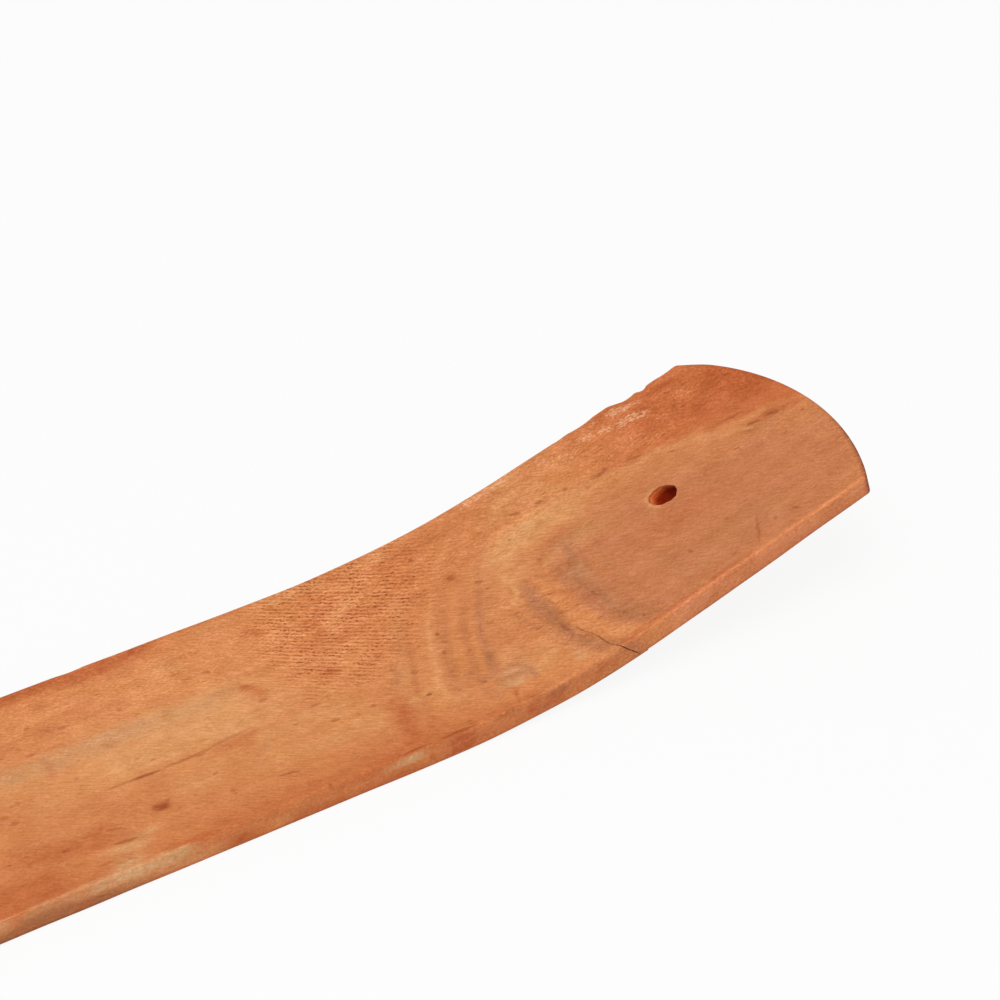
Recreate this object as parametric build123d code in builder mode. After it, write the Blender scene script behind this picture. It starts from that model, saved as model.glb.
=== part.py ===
"""Incense stick holder: one wooden board, sawn to the shape of a ski.

The flat run is the tray that catches the ash. Past the bend the board lifts to a rounded tip,
and a leaning hole there holds a stick so that it burns above the tray.

Millimetres, +Z up, +X towards the lifted end. The origin is the middle of the flat underside.
"""
import os
from math import cos, radians, tan

from build123d import *

# Driving dimensions of the board
board_width = 38.0
board_thickness = 3.5
tray_length = 180.0  # flat run, from the middle of the tail to the start of the bend
bend_radius = 114.0  # radius of the hollow upper face
bend_angle = 16.8  # how far the lifted end turns up from the tray
ramp_length = 38.7  # straight run of the lifted end, from the bend to the middle of the tip
corner_round = 0.8  # the four corners, seen from above
arris_round = 0.4  # sanded edges all round

# Both ends are arcs, given by how far their corners stand back from their middle
tip_near_setback = 4.3
tip_far_setback = 8.2
tail_setback = 5.0

# Hole for the stick
hole_radius = 1.6
hole_from_bend = 14.0  # up the ramp, to the middle of the mouth
hole_off_middle = -1.0  # across the board, towards the near edge
hole_lean = 39.0  # from square to the ramp, towards the tray

overrun = 2.0  # stock past a finished end, and cutters past a face

tray_half = tray_length / 2
half_width = board_width / 2


def end_waste(middle, near_setback, far_setback):
    """Sketch of the stock that lies outside a rounded end facing +X."""
    near_corner = (middle - near_setback, -half_width)
    far_corner = (middle - far_setback, half_width)
    beyond = middle + max(near_setback, far_setback) + overrun
    with BuildSketch() as waste:
        with BuildLine():
            ThreePointArc(near_corner, (middle, 0), far_corner)
            Polyline(
                far_corner,
                (middle - far_setback, half_width + overrun),
                (beyond, half_width + overrun),
                (beyond, -half_width - overrun),
                (middle - near_setback, -half_width - overrun),
                near_corner,
            )
        make_face()
    return waste.sketch


# The board: its side profile across the width, then its ends, its edges and its hole
with BuildPart() as board:
    with BuildSketch(Plane.XZ) as profile:
        with BuildLine():
            tail_x = -tray_half - overrun
            under_tray = Line((tail_x, 0), (tray_half, 0))
            under_bend = JernArc(under_tray @ 1, under_tray % 1, bend_radius + board_thickness, bend_angle)
            under_ramp = PolarLine(under_bend @ 1, ramp_length + overrun, direction=under_bend % 1)
            top_tray = Line((tail_x, board_thickness), (tray_half, board_thickness))
            top_bend = JernArc(top_tray @ 1, top_tray % 1, bend_radius, bend_angle)
            top_ramp = PolarLine(top_bend @ 1, ramp_length + overrun, direction=top_bend % 1)
            Line(under_tray @ 0, top_tray @ 0)
            Line(under_ramp @ 1, top_ramp @ 1)
        make_face()
    extrude(amount=half_width, both=True)

    # Upper face of the ramp, with its X up the slope, square to which the tip is cut
    slope = Vector(1, 0, 0).rotate(Axis.Y, -bend_angle)
    square = Vector(0, 0, 1).rotate(Axis.Y, -bend_angle)
    ramp_start = Plane.XZ.from_local_coords(top_bend @ 1)
    ramp_face = Plane(origin=ramp_start, x_dir=slope, z_dir=square)

    with BuildSketch(ramp_face) as tip:
        add(end_waste(ramp_length, tip_near_setback, tip_far_setback))
    extrude(amount=board_thickness + overrun, both=True, mode=Mode.SUBTRACT)

    # The tail faces -X, so its sketch is turned half round
    with BuildSketch(Plane.XY.rotated((0, 0, 180))) as tail:
        add(end_waste(tray_half, tail_setback, tail_setback))
    extrude(amount=board_thickness + overrun, both=True, mode=Mode.SUBTRACT)

    # The uprights at the corners are the short edges, and the rest but the bend's ends are arrises
    uprights = board.edges().filter_by(lambda edge: edge.length < board_thickness + overrun)
    fillet(uprights, corner_round)
    arrises = board.edges().filter_by(Axis.Y, reverse=True)
    arrises = arrises.filter_by(lambda edge: edge.length > board_thickness + overrun)
    fillet(arrises, arris_round)

    # The drill starts clear of the ramp and leaves through the underside
    mouth = ramp_face.from_local_coords(Vector(hole_from_bend, hole_off_middle, 0))
    hole_axis = square.rotate(Axis.Y, -hole_lean)
    drill = Plane(origin=mouth, x_dir=(0, 1, 0), z_dir=hole_axis)
    drill_start = hole_radius * tan(radians(hole_lean)) + overrun
    with Locations(drill.offset(drill_start)):
        Hole(hole_radius)

board.part.label = "ash_catcher_board"

os.makedirs("parts", exist_ok=True)
export_step(board.part, "parts/ash_catcher_board.step")

# Where a stick is held: the middle of the hole, and the way a stick leaves it
hole_depth = board_thickness / cos(radians(hole_lean))
hole_middle = mouth - hole_axis * (hole_depth / 2)
print("hole middle", hole_middle, "axis", hole_axis)
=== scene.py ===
# %% [markdown]
# # A wooden incense stick holder
#
# The object is one board, sawn from a block to the shape of a ski. The long flat run catches ash, and
# the lifted end has a leaning hole for the stick. The CAD model is the frame: it gives the true size
# and place. Here the board gets what a plain solid lacks: worn edges, chips, a crack, and the wood
# itself.

# %% Load the frame
from math import cos, pi, radians, sin, tan

import bpy
import numpy as np
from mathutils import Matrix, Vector


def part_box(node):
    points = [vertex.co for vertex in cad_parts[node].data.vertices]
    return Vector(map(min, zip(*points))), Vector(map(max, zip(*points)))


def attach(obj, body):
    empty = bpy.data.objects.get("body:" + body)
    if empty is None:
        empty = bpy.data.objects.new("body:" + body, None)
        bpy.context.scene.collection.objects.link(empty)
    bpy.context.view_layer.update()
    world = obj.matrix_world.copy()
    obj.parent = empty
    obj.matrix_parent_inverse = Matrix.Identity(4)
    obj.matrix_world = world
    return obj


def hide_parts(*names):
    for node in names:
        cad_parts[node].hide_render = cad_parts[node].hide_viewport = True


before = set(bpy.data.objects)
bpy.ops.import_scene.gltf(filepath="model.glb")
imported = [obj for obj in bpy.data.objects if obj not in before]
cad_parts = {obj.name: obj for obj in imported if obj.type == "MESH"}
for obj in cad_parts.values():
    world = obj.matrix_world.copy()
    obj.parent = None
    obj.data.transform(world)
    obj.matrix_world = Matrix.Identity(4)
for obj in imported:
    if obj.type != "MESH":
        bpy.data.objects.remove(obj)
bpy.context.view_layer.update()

# %% [markdown]
# ## The board's own map
#
# A bent board is easiest to think of laid flat. So every point gets three numbers in millimetres: how
# far it is along the run (0 where the bend starts), how far across from the near edge, and how deep
# below the upper face. One function then bends that map into the frame. The wood pattern reads the same
# three numbers, so grain follows the board round the bend.

# %% Sizes from the frame and the bend
MM = 0.001
box_low, box_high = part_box("ash_catcher_board")
tray_half = -box_low[0] / MM
board_width = (box_high[1] - box_low[1]) / MM
board_thickness = 3.5
bend_radius = 114.0
bend_turn = radians(16.8)
ramp_length = 38.7

bend_length = bend_radius * bend_turn
tail_run = -2 * tray_half
tip_run = bend_length + ramp_length
print(f"run from {tail_run:.1f} to {tip_run:.1f} mm, {board_width:.1f} mm wide")


# %% Bend the map into the frame
def to_frame(place):
    """Frame coordinates in metres of places (run, across, depth) in millimetres."""
    run, across, depth = place.T
    turn = np.clip(run / bend_radius, 0, bend_turn)
    up_ramp = np.clip(run - bend_length, 0, None)
    x = tray_half + np.minimum(run, 0) + bend_radius * np.sin(turn) + up_ramp * cos(bend_turn)
    z = board_thickness + bend_radius * (1 - np.cos(turn)) + up_ramp * sin(bend_turn)
    x = x + depth * np.sin(turn)
    z = z - depth * np.cos(turn)
    return np.stack([x, across - board_width / 2, z], axis=1) * MM


tip_middle = np.array([[tip_run, board_width / 2, 0]])
print("the tip's upper edge lies at", to_frame(tip_middle)[0].round(4), "metres")

# %% [markdown]
# ## A skin of quads
#
# The board starts as the skin of a box, cut by grid lines on each axis. Lines lie close where there is
# something fine to show: at the arrises, the crack and the hole. The tail gets wide spacing. A modifier
# could divide the whole board evenly, but then the tail would cost as much as the bend. A grid of quads
# takes smooth shading well, and every later step only moves its points.

# %% Places that need close lines
arris = 0.4
arris_lines = arris * np.array([0, 0.3, 0.65, 1])
crack_run = 26.8
crack_lines = crack_run + np.array([-0.6, -0.26, -0.11, 0, 0.11, 0.26, 0.6])
past_crack = crack_run + 1.1
hole_from_bend = 14.0
hole_off_middle = -1.0
hole_run = bend_length + hole_from_bend
hole_across = board_width / 2 + hole_off_middle
print(f"crack at {crack_run:.1f} mm, hole at {hole_run:.1f} mm along and {hole_across:.1f} mm across")


# %% Grid lines
def lines(*stretches):
    """Grid lines over stretches (start, stop, step), with each stop left to the next stretch."""
    rows = [np.linspace(a, b, round((b - a) / step), endpoint=False) for a, b, step in stretches]
    return np.concatenate(rows)


def with_ends(inner, start, stop):
    """The inner lines between those of the rounded arrises at both ends."""
    return np.concatenate([start + arris_lines[:-1], inner, (stop - arris_lines)[::-1]])


tail_stop = -70
tray_stop = 4
hole_start = hole_run - 8.0
hole_stop = hole_run + 8.0
hole_near = hole_across - 5.0
hole_far = hole_across + 5.0
plain_step = 0.45
hole_step = 0.3
along = np.concatenate([
    lines((tail_run + arris, tail_stop, 2.0), (tail_stop, tray_stop, 0.55)),
    lines((tray_stop, crack_lines[0], 0.36)),
    crack_lines,
    lines((past_crack, hole_start, 0.4), (hole_start, hole_stop, hole_step)),
    lines((hole_stop, tip_run - arris, plain_step)),
])
along = with_ends(along, tail_run, tip_run)
across = lines(
    (arris, hole_near, plain_step),
    (hole_near, hole_far, hole_step),
    (hole_far, board_width - arris, plain_step),
)
across = with_ends(across, 0, board_width)
depth = with_ends(lines((arris, board_thickness - arris, plain_step)), 0, board_thickness)
print(len(along), "lines along,", len(across), "across,", len(depth), "deep")

# %% Number the points of the skin
lattice = (len(along), len(across), len(depth))
on_skin = np.zeros(lattice, bool)
for axis in range(3):
    for end in (0, -1):
        np.moveaxis(on_skin, axis, 0)[end] = True
number = np.full(lattice, -1)
number[on_skin] = np.arange(on_skin.sum())
place = np.stack(np.meshgrid(along, across, depth, indexing="ij"), axis=-1)[on_skin]
top, under = number[:, :, 0], number[:, :, -1]
print(len(place), "points on the skin")


# %% Quads of the six faces
def sheet_quads(sheet, turned):
    """Quads between neighbouring points of a sheet of point numbers, kept in its rows and columns."""
    quads = np.stack([sheet[:-1, :-1], sheet[1:, :-1], sheet[1:, 1:], sheet[:-1, 1:]], axis=-1)
    return quads[..., ::-1] if turned else quads


face_quads = {}
for axis, name in enumerate(("end", "side", "face")):
    for end in (0, -1):
        sheet = np.take(number, end, axis=axis)
        face_quads[name, end] = sheet_quads(sheet, turned=(axis == 1) == (end == 0))
print(sum(q.shape[0] * q.shape[1] for q in face_quads.values()), "quads on the box")

# %% [markdown]
# ## Room for the hole
#
# The stick's hole leans 39 degrees, so its mouth is an oval and its way out below lies further up the
# ramp. A boolean cut would do it, but leaves long thin faces that shade badly. So a block of quads is
# left out of both faces. The square edge of each block is drawn in to an oval, the quads around it ease
# back to the grid, and rings of quads join the two ovals as the drilled wall.

# %% Leave out a block in both faces
hole_radius = 1.6
hole_lean = radians(39)
half_block = 6
ease_block = 16
hole_shift = board_thickness * tan(hole_lean)


def nearest(values, wanted):
    """Index of the value nearest to the wanted one."""
    return int(np.abs(values - wanted).argmin())


def block_edge(sheet, row, column):
    """Point numbers round the square block, in order."""
    side = np.arange(-half_block, half_block)
    rows = np.concatenate([side, 0 * side + half_block, -side, 0 * side - half_block])
    columns = np.concatenate([0 * side - half_block, side, 0 * side + half_block, -side])
    return sheet[row + rows, column + columns]


hole_column = nearest(across, hole_across)
mouth_row = nearest(along, hole_run)
exit_row = nearest(along, hole_run + hole_shift)
for row, end in ((mouth_row, 0), (exit_row, -1)):
    kept = np.ones(face_quads["face", end].shape[:2], bool)
    rows = slice(row - half_block, row + half_block)
    kept[rows, hole_column - half_block:hole_column + half_block] = False
    face_quads["face", end] = face_quads["face", end][kept]
mouth_edge = block_edge(top, mouth_row, hole_column)
exit_edge = block_edge(under, exit_row, hole_column)
print(len(mouth_edge), "points round the hole")

# %% [markdown]
# ## Ends, arrises and the oval
#
# Three moves give the sharp box its outline. First each arris is rounded: a point near two faces is
# pulled onto a small quarter round. Then the ends are drawn back to arcs: the tip's arc is askew, as on
# the real board, and fades into straight grid lines. Last, the block's edges become ovals. Bevels and
# cuts could do the same, but moved points keep the grid whole.

# %% Round the arrises
low_corner = np.array([tail_run, 0, 0])
high_corner = np.array([tip_run, board_width, board_thickness])
inner = np.clip(place, low_corner + arris, high_corner - arris)
outward = place - inner
shape = inner + outward * (arris / np.linalg.norm(outward, axis=1, keepdims=True))

# How near each point is to an arris, for the worn edges and their painted highlight later
to_face = np.minimum(place - low_corner, high_corner - place)
to_arris = np.sort(to_face, axis=1)[:, 1]
print((to_arris < arris).sum(), "points lie on a rounded arris")


# %% Draw the ends back to arcs
def smooth(start, stop, value):
    """0 before start, 1 after stop, with a soft step between."""
    t = np.clip((value - start) / (stop - start), 0, 1)
    return t * t * (3 - 2 * t)


def arc_setback(near, far, y):
    """How far an arc through three points stands back: near and far at the edges, 0 in the middle."""
    half = board_width / 2
    centre_back = (near ** 2 + far ** 2 + 2 * half ** 2) / (2 * (near + far))
    centre_across = (far ** 2 - 2 * far * centre_back + half ** 2) / (2 * half)
    radius = np.hypot(centre_back, centre_across)
    return centre_back - np.sqrt(radius ** 2 - (y - half - centre_across) ** 2)


tip_near_setback = 4.3
tip_far_setback = 8.2
tail_edge_setback = 5.0
end_fade = 26.0
tip_arc = arc_setback(tip_near_setback, tip_far_setback, shape[:, 1])
tail_arc = arc_setback(tail_edge_setback, tail_edge_setback, shape[:, 1])
tip_setback = tip_arc * smooth(tip_run - end_fade, tip_run, shape[:, 0])
tail_setback = tail_arc * smooth(tail_run + end_fade, tail_run, shape[:, 0])
shape[:, 0] += tail_setback - tip_setback
print(f"the tip stands back {tip_setback.max():.1f} mm at most, the tail {tail_setback.max():.1f} mm")


# %% Draw the block's edges to ovals
def draw_oval(sheet, row, run_middle):
    """Moves the points round a block so that its edge is the hole's oval on that face, a little torn."""
    reach = half_block + ease_block
    rows = np.arange(-reach, reach + 1)
    ring = np.maximum(abs(rows)[:, None], abs(rows)[None, :])
    points = sheet[row - reach:row + reach + 1, hole_column - reach:hole_column + reach + 1]
    outside = ring >= half_block
    points, ring = points[outside], ring[outside]
    middle = np.array([run_middle, hole_across])
    offset = shape[points, :2] - middle
    angle = np.arctan2(offset[:, 1], offset[:, 0])
    torn = 1 + 0.025 * np.sin(5 * angle + 1) + 0.02 * np.sin(11 * angle)
    oval = np.stack([np.cos(angle) / cos(hole_lean), np.sin(angle)], axis=1)
    oval = oval * (hole_radius * torn)[:, None]
    oval = oval * (ring / half_block)[:, None]
    share = smooth(reach, half_block, ring)[:, None]
    shape[points, :2] = middle + share * oval + (1 - share) * offset


draw_oval(top, mouth_row, hole_run)
draw_oval(under, exit_row, hole_run + hole_shift)
mouth_length, mouth_width = np.ptp(shape[mouth_edge, :2], axis=0)
print(f"the hole's mouth is {mouth_length:.1f} by {mouth_width:.1f} mm")

# %% Join the two ovals with the drilled wall
wall_rings = 12
shares = np.linspace(0, 1, wall_rings + 1)[1:-1]
wall = [(1 - t) * shape[mouth_edge] + t * shape[exit_edge] for t in shares]
wall_numbers = len(shape) + np.arange(len(shares) * len(mouth_edge)).reshape(len(shares), -1)
rings = np.vstack([mouth_edge, wall_numbers, exit_edge])
rings = np.hstack([rings, rings[:, :1]])
wall_quads = sheet_quads(rings, turned=False)
shape = np.vstack([shape] + wall)
far_from_arris = 10 * arris
to_arris = np.concatenate([to_arris, np.full(len(shape) - len(to_arris), far_from_arris)])
print(wall_quads.shape[0] * wall_quads.shape[1], "quads in the hole's wall")

# %% [markdown]
# ## Hand-made shape
#
# The photo shows a board that was sawn and sanded by hand. The far edge of the ramp is bitten and a
# little narrow, the far side of the bend stands a hair higher, the board thins towards the tip, and a
# crack opens at the near edge of the bend. Sculpting could give all this. Here each is a small move of
# the points, made in the flat map, so its size can be read and changed.

# %% Bite the far edge
wood_place = shape.copy()
run, y, deep = wood_place.T
from_far = board_width - y

ramp_narrowing = 0.72
bite_reach = 5.0
bite_ease_below = 0.35
bites = (
    # run, half length, depth
    (47.8, 2.2, 0.22),
    (55.3, 1.2, 0.16),
    (57.8, 0.9, 0.40),
    (61.8, 1.5, 0.12),
    (43.9, 0.9, 0.08),
    (-32.0, 2.0, 0.15),
    (-95.0, 3.0, 0.20),
)
bitten = ramp_narrowing * smooth(52.2, 54.6, run)
for middle, half_length, bite in bites:
    bitten = bitten + bite * np.clip(1 - ((run - middle) / half_length) ** 2, 0, 1)
near_far_edge = smooth(bite_reach, 0.0, from_far)
shape[:, 1] -= bitten * near_far_edge * (1 - bite_ease_below * deep / board_thickness)
print(f"the far edge is bitten {bitten.max():.2f} mm deep at most")

# %% Lift the far side, thin and undercut the tip
bend_lift = 0.32
tip_thinning = 0.30
bend_swell = 0.16
tip_undercut = 0.5
far_lift = bend_lift * smooth(-8, 12, run) * smooth(44, 26, run) * smooth(8, board_width, y)
thinning = tip_thinning * smooth(40, tip_run, run)
thinning = thinning - bend_swell * smooth(8, 24, run) * smooth(30.4, 29.4, run)
shape[:, 2] -= far_lift
shape[:, 2] -= thinning * deep / board_thickness
shape[:, 0] -= tip_undercut * smooth(tip_run - 4, tip_run, run) * deep / board_thickness
print(f"the bend's far side is lifted {far_lift.max():.2f} mm")


# %% Gentle waves
def waves(a, b, seed):
    """Gentle unevenness from four sines in turned directions, between about -1 and 1."""
    total = 0
    for k in range(4):
        turn = seed + 2.4 * k
        total = total + np.sin((a * cos(turn) + b * sin(turn)) * (0.7 + 0.45 * k) + 1.7 * seed * k)
    return total / 2.6


# The waves only ever sink below the plain faces, so the board stays inside the frame's box
sink = 1.6
face_wave = 0.035
edge_wave = 0.03
tip_sink = 0.01
upper_half = deep < board_thickness / 2
inside = smooth(0, 1.5, to_arris)
shape[:, 2] += face_wave * (sink + waves(run / 5, y / 3, 1.3)) * inside * upper_half
shape[:, 2] += tip_sink * smooth(tip_run - 6, tip_run, run) * upper_half
inward = smooth(2.0, 0.0, np.minimum(y, from_far)) * np.sign(board_width / 2 - y)
shape[:, 1] += edge_wave * (sink + waves(run / 2.5, deep / 2, 4.1)) * inward
print(f"waves sink the faces by about {face_wave * (sink + 1):.2f} mm at most")

# %% Open the crack
crack_length = 8.5
crack_depth = 0.55
crack_row = nearest(along, crack_run)
crack_reach = smooth(crack_length, crack_length * 0.6, y)

# It slants and wavers over the upper face, and slants on down the near side
crack_slant = 0.26
crack_waver = 0.14
side_slant = 0.75
path = 0.42 - crack_slant * y + crack_waver * np.cos(1.43 * (y - 4.1))
path = path + side_slant * deep * smooth(3, 0, y)
near_crack = smooth(5, 0, abs(run - crack_run)) * smooth(14, 8, y)
sideways = path * near_crack
shape[:, 0] += sideways
wood_place[:, 0] += sideways

in_crack = np.zeros(len(shape))
crack_points = number[crack_row][number[crack_row] >= 0]
in_crack[crack_points] = crack_reach[crack_points] * smooth(board_thickness, 2.2, deep[crack_points])
on_near_side = smooth(0.6, 0.1, y)
shape[:, 2] += crack_depth * in_crack * (1 - on_near_side)
shape[:, 1] += crack_depth * in_crack * on_near_side
print(int((in_crack > 0).sum()), "points lie in the crack")

# %% [markdown]
# ## The mesh and what it remembers
#
# The points and quads now become one mesh, as the real board is one piece. Its quads carry three
# finishes: sawn wood, end grain and the drilled wall. Texture coordinates could be unwrapped, but the
# flat map is already one without seams. So each point remembers its place in the map, and how near it
# is to an arris, the crack and an end.

# %% Make the mesh
wood_quads = [face_quads[name, end] for name in ("face", "side") for end in (0, -1)]
end_quads = [face_quads["end", end] for end in (0, -1)]
groups = (wood_quads, end_quads, [wall_quads])
quads = [np.concatenate([q.reshape(-1, 4) for q in group]) for group in groups]
mesh = bpy.data.meshes.new("ash_catcher_board")
mesh.from_pydata(to_frame(shape).tolist(), [], np.concatenate(quads).tolist())
mesh.polygons.foreach_set("material_index", np.repeat([0, 1, 2], [len(q) for q in quads]))
mesh.shade_smooth()
mesh.update()
board = bpy.data.objects.new("holder_board", mesh)
bpy.context.scene.collection.objects.link(board)
print(len(mesh.vertices), "points and", len(mesh.polygons), "quads")


# %% Give the mesh its map
def store(name, kind, field, values):
    """Keeps one value per point on the mesh, for the material to read."""
    made = mesh.attributes.new(name, kind, "POINT")
    made.data.foreach_set(field, np.ascontiguousarray(values, dtype=np.float32).ravel())


to_end = np.full(len(shape), far_from_arris)
to_end[:len(place)] = to_face[:, 0]
store("place", "FLOAT_VECTOR", "vector", wood_place)
store("arris", "FLOAT", "value", smooth(0.55, 0.05, to_arris))
store("crack", "FLOAT", "value", in_crack)
store("end", "FLOAT", "value", smooth(0.65, 0.1, to_end))
print("each point keeps its place, and its share of arris, crack and end")

# %% [markdown]
# ## A bench for nodes
#
# The wood is one long recipe of shader nodes. A few short helpers keep it readable: each places a node,
# wires its inputs and gives back its output. Colours are written as they look on a screen and turned
# into the linear values that shaders take. Lengths are in millimetres, because the nodes read the
# board's own map.


# %% Colours as seen on a screen
def paint(red, green, blue):
    """A colour as seen on a screen, 0 to 255, as a shader takes it."""
    screen = np.array([red, green, blue]) / 255
    linear = np.where(screen <= 0.04045, screen / 12.92, ((screen + 0.055) / 1.055) ** 2.4)
    return (*linear.tolist(), 1.0)


print(f"half bright on a screen is {paint(128, 128, 128)[0]:.2f} to a shader")


# %% Short ways to wire nodes
class Bench:
    """Places and wires the nodes of one tree."""

    def __init__(self, tree):
        self.tree = tree

    def put(self, kind, settings, inputs):
        made = self.tree.nodes.new("ShaderNode" + kind)
        for name, value in settings.items():
            setattr(made, name, value)
        for name, value in inputs.items():
            self.feed(made.inputs[name], value)
        return made

    def feed(self, socket, value):
        if isinstance(value, bpy.types.NodeSocket):
            self.tree.links.new(value, socket)
        else:
            socket.default_value = value

    def math(self, operation, a, b=0.0):
        return self.put("Math", {"operation": operation}, {0: a, 1: b}).outputs[0]

    def times(self, product, *factors):
        for factor in factors:
            product = self.math("MULTIPLY", product, factor)
        return product

    def plus(self, total, *terms):
        for term in terms:
            total = self.math("ADD", total, term)
        return total

    def vector(self, operation, a, b=(0, 0, 0), c=(0, 0, 0)):
        made = self.put("VectorMath", {"operation": operation}, {0: a, 1: b, 2: c})
        return made.outputs["Value" if operation in ("LENGTH", "DOT_PRODUCT") else "Vector"]

    def split(self, vector):
        return self.put("SeparateXYZ", {}, {0: vector}).outputs[:]

    def step(self, value, start, stop, high=1.0, low=0.0):
        """Low before start and high after stop, with a soft step between. Start may lie after stop."""
        inputs = {"Value": value, "From Min": start, "From Max": stop, "To Min": low, "To Max": high}
        return self.put("MapRange", {"interpolation_type": "SMOOTHSTEP"}, inputs).outputs[0]

    def mix(self, share, under, over, blend="MIX"):
        settings = {"data_type": "RGBA", "blend_type": blend}
        return self.put("Mix", settings, {0: share, 6: under, 7: over}).outputs[2]


print("the bench can place, feed, reckon, step and mix")


# %% Wood worker's tools
class WoodBench(Bench):
    """A bench that also knows noise, colour ramps, soft patches, groups and what the mesh remembers."""

    def noise(self, at, size, detail=2.0, rough=0.5):
        """Noise with features of a size (run, across, depth): its value and its colour."""
        at = self.vector("DIVIDE", at, size)
        inputs = {"Vector": at, "Scale": 1.0, "Detail": detail, "Roughness": rough}
        return self.put("TexNoise", {}, inputs).outputs

    def about(self, value, amount):
        """Noise from 0 to 1 made to swing about 0 by an amount."""
        return self.times(self.math("SUBTRACT", value, 0.5), 2 * amount)

    def ramp(self, value, stops):
        """Colours at places along a value, blended between."""
        low, high = stops[0][0], stops[-1][0]
        inputs = {"Value": value, "From Min": low, "From Max": high}
        made = self.put("ValToRGB", {}, {0: self.put("MapRange", {}, inputs).outputs[0]})
        elements = made.color_ramp.elements
        for place, colour in stops[1:-1]:
            elements.new((place - low) / (high - low)).color = colour
        elements[0].color, elements[-1].color = stops[0][1], stops[-1][1]
        return made.outputs[0]

    def patch(self, at, middle, half_sizes, turn=0.0, core=0.3, high=1.0):
        """A soft oval mask round a middle (run, across): high within its core share, 0 outside it."""
        turn = radians(turn)
        half_length, half_width = half_sizes
        off = self.vector("SUBTRACT", at, (*middle, 0))
        a = self.vector("DOT_PRODUCT", off, (cos(turn) / half_length, sin(turn) / half_length, 0))
        b = self.vector("DOT_PRODUCT", off, (-sin(turn) / half_width, cos(turn) / half_width, 0))
        far = self.plus(self.times(a, a), self.times(b, b))
        return self.step(far, 1.0, core ** 2, high)

    def place_group(self, group, **inputs):
        return self.put("Group", {"node_tree": group}, inputs).outputs

    def attribute(self, name):
        return self.put("Attribute", {"attribute_name": name}, {}).outputs


print("the wood bench adds noise, ramps, patches, groups and attributes")


# %% Node groups with named sockets
def new_group(name, inputs, outputs):
    """A shader node group with named sockets: its bench, what comes in and what goes out."""
    tree = bpy.data.node_groups.new(name, "ShaderNodeTree")
    for socket, kind in inputs.items():
        tree.interface.new_socket(socket, in_out="INPUT", socket_type="NodeSocket" + kind)
    for socket, kind in outputs.items():
        tree.interface.new_socket(socket, in_out="OUTPUT", socket_type="NodeSocket" + kind)
    entry = tree.nodes.new("NodeGroupInput")
    leave = tree.nodes.new("NodeGroupOutput")
    return tree, WoodBench(tree), entry.outputs, leave.inputs


noise_middle = (0.5, 0.5, 0.5)
print("noise colours swing about", noise_middle)

# %% [markdown]
# ## Fibre and pores
#
# Close up, the bare wood is never one tone. Fine specks, streaks along the run and soft mottling lie
# over each other, and short dark dashes show where pores are cut along. Image scans could give this.
# Noise stretched along the run gives it too, at any size, and follows the bend. Dark wood is also
# redder: where it darkens, blue falls most and red least, so the shade becomes a gain for each colour.
# All three finishes use this, so it is a group.

# %% Fibre group: mottling, specks and streaks
fibre_group, bench, come, go = new_group(
    "wood_fibre",
    {"Place": "Vector", "Strength": "Float", "Cut": "Float"},
    {"Gain": "Color", "Height": "Float"},
)
mottle = bench.noise(come["Place"], (4.4, 3.0, 3.0), detail=5.0, rough=0.64)
specks = bench.noise(come["Place"], (0.50, 0.30, 0.30), detail=2.0, rough=0.6)[0]
streaks = bench.noise(come["Place"], (8.0, 0.7, 0.7), detail=2.0)[0]
shade = bench.plus(bench.about(mottle[0], 0.40), bench.about(specks, 0.50), bench.about(streaks, 0.16))
print("fibre group starts with", len(fibre_group.nodes), "nodes")


# %% Fibre group: pores and flecks
def scattered(cell_size, radius, core, pick_start, pick_full):
    """Small spots, one in each picked cell of a size (run, across, depth)."""
    at = bench.vector("DIVIDE", come["Place"], cell_size)
    cells = bench.put("TexVoronoi", {}, {"Vector": at, "Scale": 1.0}).outputs
    picked = bench.step(bench.split(cells["Color"])[0], pick_start, pick_full)
    return bench.times(bench.step(cells["Distance"], radius, core), picked)


pores = scattered((2.6, 0.62, 0.62), radius=0.26, core=0.10, pick_start=0.72, pick_full=0.95)
flecks = scattered((2.6, 1.2, 1.2), radius=0.15, core=0.06, pick_start=0.6, pick_full=1.0)
pits = bench.plus(bench.times(pores, 0.3), bench.times(flecks, 0.45))
shade = bench.math("SUBTRACT", shade, pits)
# Cut is added as it comes: on the board it holds scratches, a painted highlight on the saw's ridges and
# painted shade low on the near side
shade = bench.plus(bench.times(shade, come["Strength"]), come["Cut"])
print("with pores and flecks it has", len(fibre_group.nodes))

# %% Fibre group: a gain for each colour, and the height of the grain
red_green_blue = (0.60, 0.95, 1.45)
hue_swing = (0.06, 0.14, 0.30)
channel_gain = [bench.math("EXPONENT", bench.times(shade, k)) for k in red_green_blue]
gain = bench.put("CombineXYZ", {}, dict(enumerate(channel_gain))).outputs[0]
hue = bench.vector("SUBTRACT", mottle[1], noise_middle)
bench.feed(go["Gain"], bench.vector("MULTIPLY_ADD", hue, hue_swing, gain))

pit_depth = 0.12
height = bench.plus(bench.about(specks, 0.05), bench.about(mottle[0], 0.06))
bench.feed(go["Height"], bench.math("SUBTRACT", height, bench.times(pits, pit_depth)))
print("fibre group has", len(fibre_group.nodes), "nodes")

# %% [markdown]
# ## Growth rings
#
# The saw cut through a branch's base: on the tray the rings run along as soft streaks, and at the bend
# they close into nested arcs round the middle of the ramp. Three colour ramps hold these bands. One
# reads the place across the tray, one the outer arcs, which lean over like the parabola of the first
# one, and one the inner arcs, whose distance is that of a rounded box. A slow drift bends them all, and
# depth shears them, so that the sides and the underside show the same rings elsewhere.

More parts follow.
